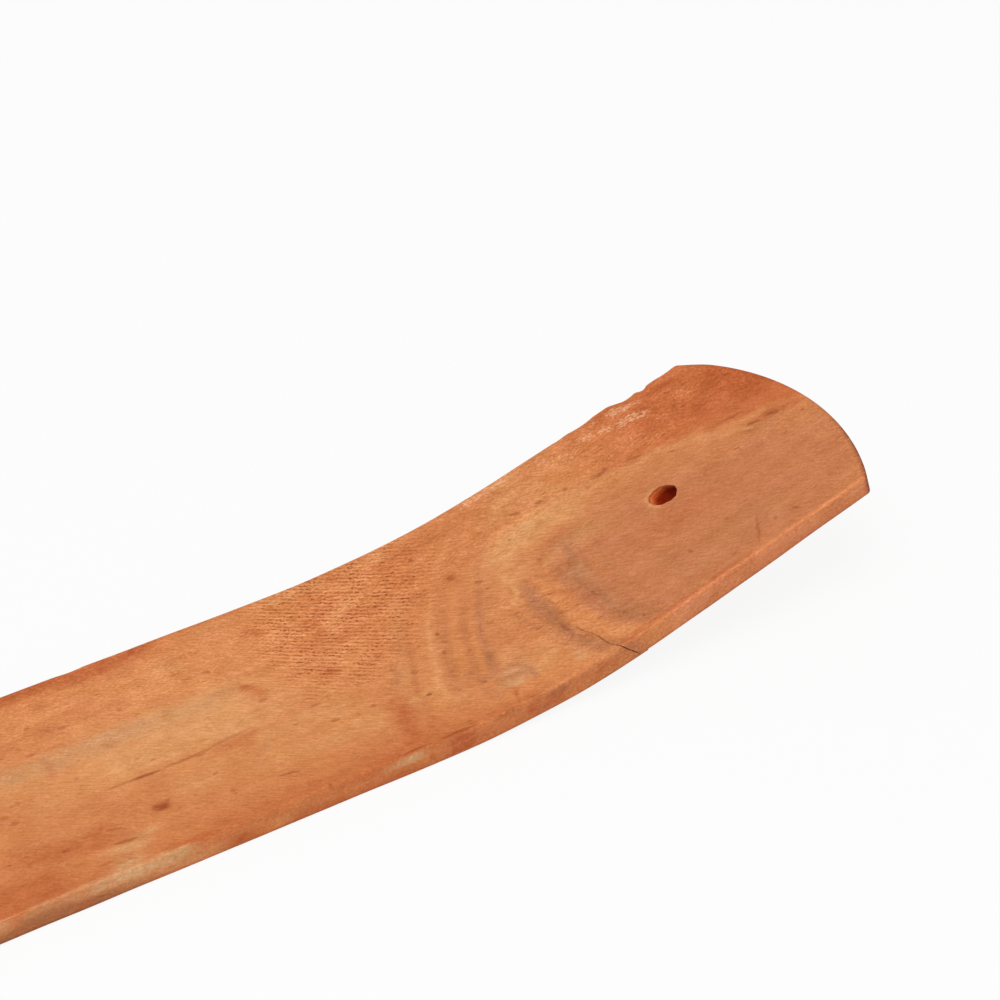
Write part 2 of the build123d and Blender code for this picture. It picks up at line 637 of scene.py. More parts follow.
# %% Colours across the tray and along the arcs
plain_ring = paint(211, 134, 80)
pale_ring = paint(219, 147, 92)
dull_ring = paint(206, 131, 80)
dark_ring = paint(198, 123, 74)
grey_ring = paint(188, 117, 75)
heartwood = paint(196, 121, 76)
tray_bands = (
    # place across, colour
    (0.0, paint(200, 118, 66)),
    (9.0, paint(209, 133, 79)),
    (20.0, paint(214, 139, 84)),
    (27.0, paint(217, 140, 85)),
    (32.0, paint(217, 139, 84)),
    (38.0, paint(206, 123, 70)),
)
outer_bands = (
    # place along the run, colour
    (-5.0, plain_ring),
    (0.0, plain_ring),
    (0.9, dull_ring),
    (2.6, dull_ring),
    (3.4, dark_ring),
    (4.3, plain_ring),
    (5.7, plain_ring),
    (6.5, pale_ring),
    (7.3, dull_ring),
    (8.1, dark_ring),
    (9.0, dark_ring),
    (9.8, plain_ring),
    (10.6, plain_ring),
    (11.5, dark_ring),
    (12.1, dark_ring),
    (12.9, plain_ring),
    (14.2, grey_ring),
    (15.2, dull_ring),
    (22.0, plain_ring),
)
inner_bands = (
    # distance from the ring's middle, colour
    (0.0, heartwood),
    (18.0, heartwood),
    (18.9, grey_ring),
    (19.7, heartwood),
    (20.6, grey_ring),
    (21.4, heartwood),
    (22.4, plain_ring),
    (24.2, plain_ring),
    (25.1, dark_ring),
    (25.9, grey_ring),
    (26.7, dark_ring),
    (27.6, dull_ring),
    (29.3, plain_ring),
    (31.0, plain_ring),
)
print(len(tray_bands), "colours across the tray,", len(outer_bands) + len(inner_bands), "along the arcs")

# %% Ring group: shear and drift
rings_group, bench, come, go = new_group(
    "growth_rings",
    {"Place": "Vector"},
    {"Colour": "Color", "Arc": "Float"},
)
depth_shear = (-0.9, 0.3, 0)
drift_size = (9, 9, 9)
drift_reach = (3.0, 3.0, 0)
depth_in = bench.split(come["Place"])[2]
sheared = bench.vector("MULTIPLY_ADD", depth_in, depth_shear, come["Place"])
drift = bench.noise(sheared, drift_size, detail=4.0, rough=0.6)[1]
drift = bench.vector("SUBTRACT", drift, noise_middle)
grain = bench.vector("MULTIPLY_ADD", drift, drift_reach, sheared)
run_in, across_in, _ = bench.split(grain)
print("ring group starts with", len(rings_group.nodes), "nodes")

# %% Ring group: places along the outer and the inner arcs
outer_bow = -0.0155
outer_start = 2.0
outer = bench.plus(bench.times(bench.math("POWER", across_in, 2.0), outer_bow), run_in, outer_start)

# The ring's middle on the ramp, and how the arcs slope down past it
ring_run = 50.0
ring_across = 12.0
slope_start = 36.0
slope_rate = 0.26
slope = bench.math("MAXIMUM", bench.math("SUBTRACT", run_in, slope_start), 0.0)
slope = bench.times(slope, slope_rate, bench.step(across_in, ring_across, ring_across + 5))

# A power of 2 would give ovals, and a higher one squares them
ring_squash = 1.6
ring_power = 3.0
up = bench.plus(bench.math("SUBTRACT", across_in, ring_across), slope)
up = bench.math("POWER", bench.math("ABSOLUTE", bench.times(up, ring_squash)), ring_power)
out = bench.math("POWER", bench.math("ABSOLUTE", bench.math("SUBTRACT", run_in, ring_run)), ring_power)
inner = bench.math("POWER", bench.plus(up, out), 1 / ring_power)
print("with its arcs it has", len(rings_group.nodes))

# %% Ring group: colours
# The outer arcs are plain in the near half of the bend, and lost among the saw marks further across
plain_arcs = ((-5.0, plain_ring), (0.0, paint(207, 126, 73)), (22.0, plain_ring))
arc_show = bench.times(bench.step(across_in, 1.0, 11.0), bench.step(across_in, 29.0, 15.0, 1.0, 0.3))
outer_colour = bench.mix(arc_show, bench.ramp(outer, plain_arcs), bench.ramp(outer, outer_bands))
colour = bench.mix(bench.step(outer, -6.0, 0.0), bench.ramp(across_in, tray_bands), outer_colour)

# Past the rings, the far half of the ramp is redder
past_rings = bench.times(bench.step(inner, 26.0, 29.0), bench.step(run_in, 36.0, 54.0))
colour = bench.mix(past_rings, colour, paint(202, 114, 65))

# The inner arcs show near the crack, and blend into one tone further up and across
plain_heart = ((17.0, heartwood), (31.0, plain_ring))
ring_show = bench.times(bench.step(across_in, 23.0, 15.0, 1.0, 0.15), bench.step(run_in, 44.0, 34.0))
inner_colour = bench.mix(ring_show, bench.ramp(inner, plain_heart), bench.ramp(inner, inner_bands))
colour = bench.mix(bench.step(inner, 31.0, 27.5), colour, inner_colour)
bench.feed(go["Colour"], colour)
bench.feed(go["Arc"], inner)
print("ring group has", len(rings_group.nodes), "nodes")

# %% [markdown]
# ## The board's marks
#
# Over the rings lie the marks of this one board: a pale streak on the tray, red wood along the far
# edge, a knot, chips, and bare chalky spots. They could be painted on an image by hand. Here each mark
# is a brush stroke in the map: a line through a few points, with a width and a strength. Each point of
# the mesh keeps a weight for each tint, that of the strongest stroke there, so every mark can be moved
# by changing a number.

# %% Strokes of pale wood
# Each row: share, half width, share of it that is full, then run and across of each point
top_marks = {}
top_marks["pale"] = (
    (0.3, 5.0, 0.60, (-48, 19.6), (-41, 19.4), (-34, 19.6)),
    (1.0, 5.6, 0.70, (-38, 19.8), (-24, 20.0), (-15, 19.6)),
    (1.0, 6.5, 0.20, (-74, 31.5), (-58, 31), (-49, 30)),
    (0.5, 2.6, 0.10, (-74, 36), (-60, 36), (-51, 35.6)),
    (0.7, 2.6, 0.40, (-32, 17.2), (-22, 17.4), (-12, 17.0)),
    (0.8, 2.2, 0.20, (-27, 22.8), (-22, 23.0), (-18, 22.2)),
    (0.8, 1.2, 0.20, (-44.6, 4.0), (-41.6, 3.6), (-38.8, 3.2)),
    (0.8, 0.9, 0.20, (-40.4, 4.9), (-36.6, 5.0)),
    (0.4, 3.0, 0.10, (-33, 9), (-25, 10.5)),
    (0.45, 3.2, 0.10, (-21, 13), (-13, 13), (-5, 12)),
    (0.4, 2.8, 0.10, (-21, 8), (-11, 8), (-3, 7)),
    (0.5, 1.5, 0.10, (-8, 9.5), (-3, 7.8)),
    (0.6, 1.3, 0.10, (0.5, 8.4), (5.5, 9.2)),
    (0.5, 1.6, 0.10, (4, 6.8), (8, 5.4)),
    (0.5, 2.0, 0.10, (17, 3.5), (20, 5), (20.5, 8.5)),
    (0.9, 0.9, 0.10, (21.4, 16.2), (23.2, 17.8), (23.9, 20.2), (23.0, 23)),
    (1.0, 4.0, 0.20, (22.5, 23.6), (28, 26.0), (33, 26.4), (39, 25.8)),
    (0.5, 3.0, 0.10, (21, 20.2), (30, 20.8), (40, 20.4)),
    (0.7, 2.0, 0.10, (-6, 36.6), (4, 36.4), (16, 36.4)),
    (0.45, 2.2, 0.10, (-17, 36.2), (-8, 36)),
    (0.4, 2.2, 0.10, (27, 32.2), (35.5, 31.8)),
    (0.4, 2.2, 0.00, (1.5, 10.6), (2.5, 14), (3.5, 17)),
    (0.45, 2.4, 0.00, (5.5, 19), (7.5, 23), (10.5, 28)),
    (0.55, 1.8, 0.10, (31, 28.2), (38, 27.4), (43, 26.4)),
    (0.5, 1.8, 0.00, (14, 6.5), (16.5, 9), (18, 7.5)),
    (0.6, 1.1, 0.10, (33, 30.9), (36.5, 30.8), (39.6, 30.2)),
    (0.35, 0.7, 0.10, (40, 26.7), (46, 26.3), (50, 25.5), (55, 24.2), (59.5, 21.8)),
    (0.4, 0.9, 0.10, (56.5, 22), (61, 20.4), (66, 18.2)),
    (0.3, 0.7, 0.10, (61.8, 21.5), (66.5, 21.0)),
    (0.6, 1.5, 0.10, (0.6, 28.2), (3.2, 29.6), (6, 31.4)),
    (0.35, 2.0, 0.10, (5, 33), (10, 33.4)),
    (0.4, 2.4, 0.10, (-23, 32.4), (-18.6, 30.6)),
    (0.5, 2.6, 0.10, (29, 33.8), (36.5, 33)),
    (0.5, 1.8, 0.10, (31, 36.6), (37, 36.4)),
)
print(len(top_marks["pale"]), "strokes")

# %% Strokes of red wood
top_marks["red"] = (
    (0.8, 2.2, 0.10, (-47, 37.2), (-40, 37.1), (-36, 37.4), (-32, 36.9), (-25, 36.9), (-20, 38)),
    (0.8, 2.6, 0.10, (-36, 36.9), (-29, 36.4), (-25, 36.8)),
    (0.65, 6.0, 0.10, (-72, 3), (-56, 3), (-49, 2)),
    (0.26, 6.5, 0.10, (-118, 14), (-90, 15.5), (-60, 15.5), (-47, 15)),
    (0.22, 4.8, 0.10, (-104, 8.5), (-72, 10), (-47, 10.5), (-31, 10.6)),
    (0.6, 3.6, 0.10, (-56, 9), (-46, 7), (-40, 8)),
    (0.9, 0.9, 0.20, (-38.5, 0.2), (-34, 0.4), (-29.5, 0.2)),
    (0.5, 1.5, 0.00, (-24.5, 13.4), (-20, 14.0), (-17.4, 15)),
    (0.4, 1.3, 0.00, (-19, 14.6), (-21, 11.4)),
    (0.6, 1.2, 0.00, (-15.6, 23.2), (-14.1, 22), (-13.7, 20)),
    (0.7, 0.8, 0.00, (-43.2, 24.2), (-42.8, 22.4), (-43.0, 20.2)),
    (0.5, 0.8, 0.00, (-35.8, 22.7), (-34, 21.4)),
    (0.5, 0.6, 0.00, (-45.4, 25.4), (-42, 25.4), (-38.2, 25.0)),
    (0.35, 3.0, 0.00, (-48, 27.5), (-38, 29), (-32, 31)),
    (0.7, 2.6, 0.00, (-0.4, 11), (-1.1, 6.7), (-1.6, 3.4), (-2.0, 0)),
    (0.6, 1.0, 0.00, (-0.2, 12), (-0.7, 10), (-1.1, 6.7), (-1.6, 3.4), (-2.0, 0)),
    (0.7, 2.8, 0.00, (-6, 0.6), (-2.4, 1.8), (0.6, 0.8)),
    (0.5, 3.6, 0.00, (-13, 0), (-5, 1), (5, 1.6)),
    (0.4, 2.2, 0.00, (-32, 1), (-20, 1.4), (-11, 1)),
    (0.9, 0.7, 0.30, (-0.8, 0.1), (1.5, 0.3), (4.4, 0.1)),
    (0.9, 0.6, 0.10, (11.5, -0.6), (12.2, 1.4), (13.2, 3.7)),
    (0.5, 0.8, 0.20, (7, 0.2), (11, 0.4)),
    (0.5, 1.6, 0.00, (-0.4, 25.2), (2.4, 24.2), (5.2, 25.6)),
    (0.45, 1.3, 0.00, (4, 28.6), (8.4, 26.4)),
    (0.6, 1.6, 0.00, (-5.6, 20.4), (-2.6, 19)),
    (0.5, 1.6, 0.00, (-9.6, 33.4), (-6.8, 31.4)),
    (0.6, 1.8, 0.00, (-3, 26.6), (0, 29)),
    (0.4, 3.0, 0.00, (-5, 24), (-1, 29), (2, 34)),
    (0.3, 2.6, 0.00, (10, 32.4), (14, 33.8), (18, 35)),
    (0.6, 1.3, 0.00, (5, 35.8), (8, 36.8)),
    (0.5, 1.2, 0.00, (17, 25.7), (19.6, 26.6)),
    (0.2, 2.6, 0.00, (18, 34.6), (29, 34.8)),
    (0.25, 2.4, 0.00, (15, 14.6), (17, 12), (17.6, 9.6)),
    (0.35, 1.8, 0.00, (27.5, 20.6), (32, 22.0), (35.4, 23.8)),
    (1.0, 6.5, 0.20, (64, 34), (67.5, 29), (71, 23)),
    (0.6, 5.0, 0.10, (52, 34), (60, 29), (67, 24.6)),
    (0.7, 1.1, 0.10, (58, 23.7), (63, 22.6), (67, 21.6)),
    (0.7, 1.2, 0.10, (63.8, 20.0), (67, 19.3), (71.5, 18.2)),
    (0.5, 1.3, 0.10, (43.6, 28.2), (47.5, 27.2), (51.6, 26.6)),
    (0.3, 3.8, 0.00, (40, 13.5), (54, 13)),
    (0.8, 1.6, 0.20, (56.5, 36.6), (63.5, 35.0)),
    (0.6, 0.6, 0.20, (29, 0.4), (38, 0.5), (49, 0.6)),
    (0.45, 0.7, 0.20, (28, 0.6), (33, 0.7), (40, 0.7)),
    (0.8, 0.45, 0.40, (27.4, 0.15), (30.7, 0.1), (34.4, 0.3)),
    (0.5, 2.2, 0.00, (-14, 0.2), (-4, 0.6), (8, 0.4), (18, 0.3)),
    (0.9, 0.6, 0.20, (-8.6, 0), (-5.6, 0.2), (-3, 0.1)),
    (0.5, 1.2, 0.00, (1.4, 5.4), (0.6, 2.6), (0.2, 0.2)),
    (0.9, 1.5, 0.10, (-36, 8.4), (-33.4, 7.6)),
    (0.25, 2.6, 0.00, (19.6, 13), (20.6, 9)),
    (0.4, 0.5, 0.00, (26.0, 19.0), (27.8, 17.9), (29.6, 16.6)),
    (0.5, 0.5, 0.00, (25.3, 15.1), (26.8, 14.3), (28.6, 13.3)),
    (0.4, 0.5, 0.00, (25.4, 12.6), (27.4, 11.6)),
    (0.4, 0.4, 0.00, (27.0, 20.2), (29.2, 18.8)),
    (0.4, 0.5, 0.00, (20.6, 12.2), (21.8, 10.2)),
)
print(len(top_marks["red"]), "strokes")

# %% Strokes of grey rings and stains
top_marks["grey"] = (
    (0.35, 2.6, 0.00, (-51, 23.0), (-40, 22.8), (-30, 22.8), (-25, 22.4)),
    (0.6, 0.9, 0.00, (-30.2, 24.2), (-28.4, 22.8)),
    (0.5, 0.8, 0.00, (-39.6, 23.6), (-38.2, 21.8)),
    (0.45, 0.9, 0.00, (-46.6, 22.8), (-45.4, 21.4)),
    (0.35, 2.0, 0.00, (-36, 23.4), (-29, 23.4)),
    (0.35, 2.0, 0.00, (-31, 23.5), (-23.4, 23.0)),
    (0.4, 1.3, 0.00, (-20.3, 24.0), (-18.0, 23.4), (-15.4, 23.8)),
    (0.9, 1.6, 0.00, (24.6, 18.5), (24.2, 15), (23.8, 11), (23.9, 8)),
    (0.4, 0.6, 0.00, (22.4, 15), (22.6, 11), (22.4, 7)),
    (0.8, 1.1, 0.10, (23.8, 11), (23.9, 8), (24.4, 5.4)),
    (0.6, 1.2, 0.10, (24.6, 6.2), (23.8, 5.2), (23.2, 4.8)),
    (0.7, 1.5, 0.10, (24.0, 5.4), (24.9, 3.0), (25.6, 0.6)),
    (0.4, 0.7, 0.00, (20.8, 16.4), (20.8, 12), (21.8, 7)),
    (0.5, 1.2, 0.00, (29.8, 19.4), (29.6, 14.6), (28, 13)),
    (1.0, 1.4, 0.10, (34.2, 22),
        (32.2, 19), (31.1, 16.2), (30.6, 12), (30.8, 8), (31.4, 5), (32.6, 1.4)),
    (0.5, 0.9, 0.00, (34, 20), (32.9, 16), (32.3, 12), (32.6, 8), (33.4, 4)),
    (0.4, 0.6, 0.00, (29.6, 17), (29.2, 12), (29.6, 7)),
    (0.4, 0.6, 0.00, (36, 19), (35.0, 14), (35.0, 9), (36, 4)),
    (0.5, 1.8, 0.00, (30.6, 20.2), (33, 21.6), (37, 20.8)),
    (0.4, 0.9, 0.00, (33.4, 8.5), (33.0, 4.0), (33.2, 0.6)),
    (1.0, 0.55, 0.40, (13.0, 7.2), (14.4, 6.9), (15.5, 6.4), (16.1, 5.5), (16.2, 4.2), (15.8, 2.6)),
    (1.0, 0.5, 0.40, (12.2, 5.5), (13.6, 5.2), (14.8, 5.0), (15.8, 4.2), (16.2, 3)),
    (0.6, 1.0, 0.10, (10.2, 6.9), (12.2, 6.3)),
    (0.5, 0.8, 0.10, (8.8, 8.0), (11, 9.1)),
    (0.8, 0.8, 0.10, (12.2, 6.8), (13.3, 9.2), (14.7, 11.6)),
    (0.5, 0.9, 0.00, (0.8, 12), (2.2, 14.2), (2.8, 16.2)),
    (0.4, 1.0, 0.00, (4.8, 19), (6, 16)),
    (0.4, 1.6, 0.00, (8.6, 4.8), (11, 3)),
    (0.35, 2.2, 0.00, (41, 2), (40.5, 11)),
    (0.3, 2.6, 0.00, (44, 7), (60, 6)),
    (0.3, 2.4, 0.00, (40, 3.8), (48, 4.0), (58, 4.2)),
    (0.35, 2.6, 0.00, (62, 19), (67, 17)),
    (0.5, 1.1, 0.00, (-20.6, 9.6), (-17.8, 11.8)),
)
print(len(top_marks["grey"]), "strokes")

# %% Strokes worn bare and cream
top_marks["cream"] = (
    (0.5, 1.2, 0.10, (-45, 4.1), (-42, 3.6), (-38.6, 3.1)),
    (0.45, 0.8, 0.10, (-40.4, 4.9), (-37, 5.0)),
    (0.5, 0.5, 0.40, (-64, 0), (-50, 0.1), (-41, 0.2), (-36, 0.1)),
    (0.8, 1.1, 0.20, (-45.6, 0.6), (-42.6, 0.8), (-40.2, 0.5)),
    (0.4, 1.3, 0.00, (-45, 2.2), (-40, 1.6)),
    (0.45, 3.0, 0.00, (-50, 22.6), (-42, 22.6), (-34, 22.8), (-26, 23.0)),
    (0.45, 2.4, 0.00, (-26, 22.6), (-22, 22.6), (-18.6, 21.8)),
    (0.7, 0.9, 0.20, (11.2, 4.6), (13.0, 4.3), (15.0, 3.4)),
    (0.35, 2.2, 0.20, (12.6, 6.0), (15.0, 5.2), (17.0, 3.8)),
    (0.6, 0.5, 0.20, (12.4, 6.4), (14.0, 6.1), (15.3, 5.3)),
    (0.5, 0.8, 0.10, (16.6, 7.6), (17.2, 5.8), (17.0, 3.2)),
    (0.4, 1.4, 0.00, (23.0, 3.8), (22.6, 1.6)),
    (0.4, 1.2, 0.00, (31.4, 16.4), (31.6, 13.4)),
    (0.3, 2.0, 0.00, (27, 26.8), (33, 27.4)),
)
print(len(top_marks["cream"]), "strokes")

# %% Strokes of chalky crumbs
top_marks["crumbs"] = (
    (1.0, 1.5, 0.30, (51.0, 36.2), (55.4, 36.0)),
    (0.9, 1.3, 0.20, (48.2, 34.6), (50.8, 34.0)),
    (1.0, 1.4, 0.20, (50.2, 34.0), (53, 33.4), (56.4, 32.5)),
    (0.8, 1.4, 0.20, (38, 36.4), (41, 36.0)),
    (0.8, 1.3, 0.20, (44.6, 35.6), (48.4, 34.7)),
    (0.9, 1.2, 0.20, (54.0, 36), (57, 36)),
    (0.8, 1.4, 0.10, (26, 37.2), (31, 36.9), (36.6, 36.6)),
    (0.7, 1.3, 0.10, (46.6, 36.9), (50.4, 36.4)),
    (0.6, 2.0, 0.10, (38, 35.2), (45, 33.4)),
    (0.35, 1.6, 0.10, (52, 31.6), (59, 29.6)),
    (0.3, 2.4, 0.10, (57, 34.4), (65, 31)),
    (0.35, 2.6, 0.10, (42, 31), (54, 28.6)),
    (0.4, 2.2, 0.10, (-50, 23.4), (-45, 23.2)),
    (0.5, 2.0, 0.10, (-38, 23.6), (-32, 23.4)),
    (0.35, 2.0, 0.10, (-42, 23.4), (-38, 23.2)),
    (0.4, 1.8, 0.10, (-31, 23.8), (-26, 23.4)),
)
print(len(top_marks["crumbs"]), "strokes")

# %% Strokes on the near side
side_marks = {
    # the same, with run and depth of each point
    "pale": (
        (0.4, 0.9, 0.30, (-24.6, 2), (-20.4, 2.4)),
        (0.7, 0.5, 0.20, (6.0, 0.5), (5.8, 2.9)),
        (0.5, 0.4, 0.20, (1.5, 0.9), (1.2, 3.0)),
    ),
    "red": (
        (0.9, 1.2, 0.10, (-30, 2.2), (-26, 2.6)),
        (0.5, 1.0, 0.10, (-22, 2.6), (-10, 2.8), (5, 2.9)),
        (0.6, 1.0, 0.10, (-15, 0.7), (-8, 0.8)),
        (0.45, 2.2, 0.20, (-1, 1.6), (10, 1.8), (29, 1.8)),
        (0.8, 1.6, 0.40, (11.5, 1.8), (20, 1.8)),
        (1.0, 0.9, 0.30, (16.2, 1.0), (19.4, 1.1)),
        (0.7, 1.2, 0.20, (23, 1.4), (27, 1.4)),
        (1.0, 1.6, 0.60, (0.8, 1.7), (5.2, 1.7)),
        (0.8, 0.8, 0.10, (-1.6, 1.2), (-1.2, 3.2)),
    ),
    "grey": (
        (1.0, 1.2, 0.40, (-72, 2.6), (-55, 2.6), (-46, 2.8), (-40, 3.1)),
        (1.0, 1.1, 0.40, (-58.6, 1.7), (-54, 1.7), (-50.0, 1.9)),
        (0.5, 0.5, 0.20, (14, 0.8), (16, 3.2)),
        (0.6, 0.9, 0.30, (16.2, 1.0), (19.4, 1.1)),
    ),
    "cream": (
        (0.5, 1.3, 0.40, (-72, 1.0), (-61, 1.0)),
        (0.5, 0.8, 0.40, (-62, 0.6), (-55, 0.5), (-48, 0.6)),
        (1.0, 0.9, 0.40, (-72, 1.7), (-58.4, 1.6)),
        (1.0, 1.3, 0.50, (-50, 0.8), (-44, 0.8), (-40, 0.8), (-34, 1.0)),
        (0.4, 1.4, 0.20, (-46, 2.0), (-38, 2.2), (-30, 2.4)),
        (0.6, 0.8, 0.20, (-8.4, 0.9), (-5.5, 1.0)),
        (1.0, 0.9, 0.40, (-6.2, 0.9), (-2.4, 1.0)),
        (0.9, 0.4, 0.20, (45.2, 1.8), (46.8, 2.3)),
    ),
}
print(sum(len(marks) for marks in side_marks.values()), "strokes on the near side")

# %% One stroke as a weight on the mesh
taper = 3.0

# Loosened places give the strokes hand-drawn outlines
loosened = wood_place.copy()
loosened[:, 0] += 0.3 * waves(run / 1.6, y / 1.6, 2.1) + 0.12 * waves(run / 0.6, y / 0.6, 0.7)
loosened[:, 1] += 0.16 * waves(run / 1.9, y / 1.2, 5.2) + 0.10 * waves(run / 0.5, y / 0.5, 3.9)


def stroke(mark, points, stretch):
    """Weight at each point of the mesh, by its distance from a line through the mark's points."""
    share, half_width, full = mark[:3]
    ends = np.array(points, float) * stretch
    here = loosened * stretch
    gap = np.full(len(here), np.inf)
    along_line = np.zeros(len(here))
    length = 0
    for start, stop in zip(ends[:-1], ends[1:]):
        way = stop - start
        t = np.clip((here - start) @ way / (way @ way), 0, 1)
        away = np.linalg.norm(here - start - t[:, None] * way, axis=1)
        closer = away < gap
        along_line[closer] = length + t[closer] * np.linalg.norm(way)
        gap[closer] = away[closer]
        length += np.linalg.norm(way)
    fade = min(taper, 0.3 * length)
    ends_fade = smooth(-0.5 * fade, fade, along_line) * smooth(-0.5 * fade, fade, length - along_line)
    return share * ends_fade * smooth(half_width, half_width * full, gap)


print(f"strokes fade over {taper:.0f} mm at their ends")

# %% Paint the strokes
# A stretched axis keeps a stroke on its own face: depth for the upper face, across for the near side
top_stretch = (1, 1, 2)
side_stretch = (1, 3, 1)
painted = {}
for tint in top_marks:
    strokes = [stroke(m, [(s, a, 0) for s, a in m[3:]], top_stretch) for m in top_marks[tint]]
    strokes += [stroke(m, [(s, 0, d) for s, d in m[3:]], side_stretch) for m in side_marks.get(tint, ())]
    painted[tint] = np.max(strokes, axis=0)

# The hole's rim is rubbed bare on the side where a stick leans
rim_share = 0.8
rim_run = (run - hole_run) * cos(hole_lean)
rim_across = y - hole_across
rim = np.hypot(rim_run, rim_across) / hole_radius
rim_side = smooth(-0.3, 0.8, (0.5 * rim_across - rim_run) / (rim * hole_radius))
rim = rim_share * smooth(1.45, 1.05, rim) * rim_side * smooth(1.0, 0.2, deep)
painted["pale"] = np.maximum(painted["pale"], rim)
for tint, weight in painted.items():
    print(tint, "covers", f"{np.mean(weight > 0.1):.0%}", "of the points")

# %% Keep the weights on the mesh
crumb_weight = painted.pop("crumbs")
store("weights", "FLOAT_COLOR", "color", np.stack(list(painted.values()), axis=1))
store("crumbs", "FLOAT", "value", crumb_weight)
print("the mesh keeps weights for", ", ".join(painted), "and crumbs")

# %% [markdown]
# ## Specks and dashes
#
# Dozens of small dark spots are left: a knot, short cracks, pores and knocks. Most are only a quad or
# two wide, so a weight on the mesh would blur them. An image could hold them, but here each is a small
# oval mask of shader nodes, with its place, size and turn in one row of a list.

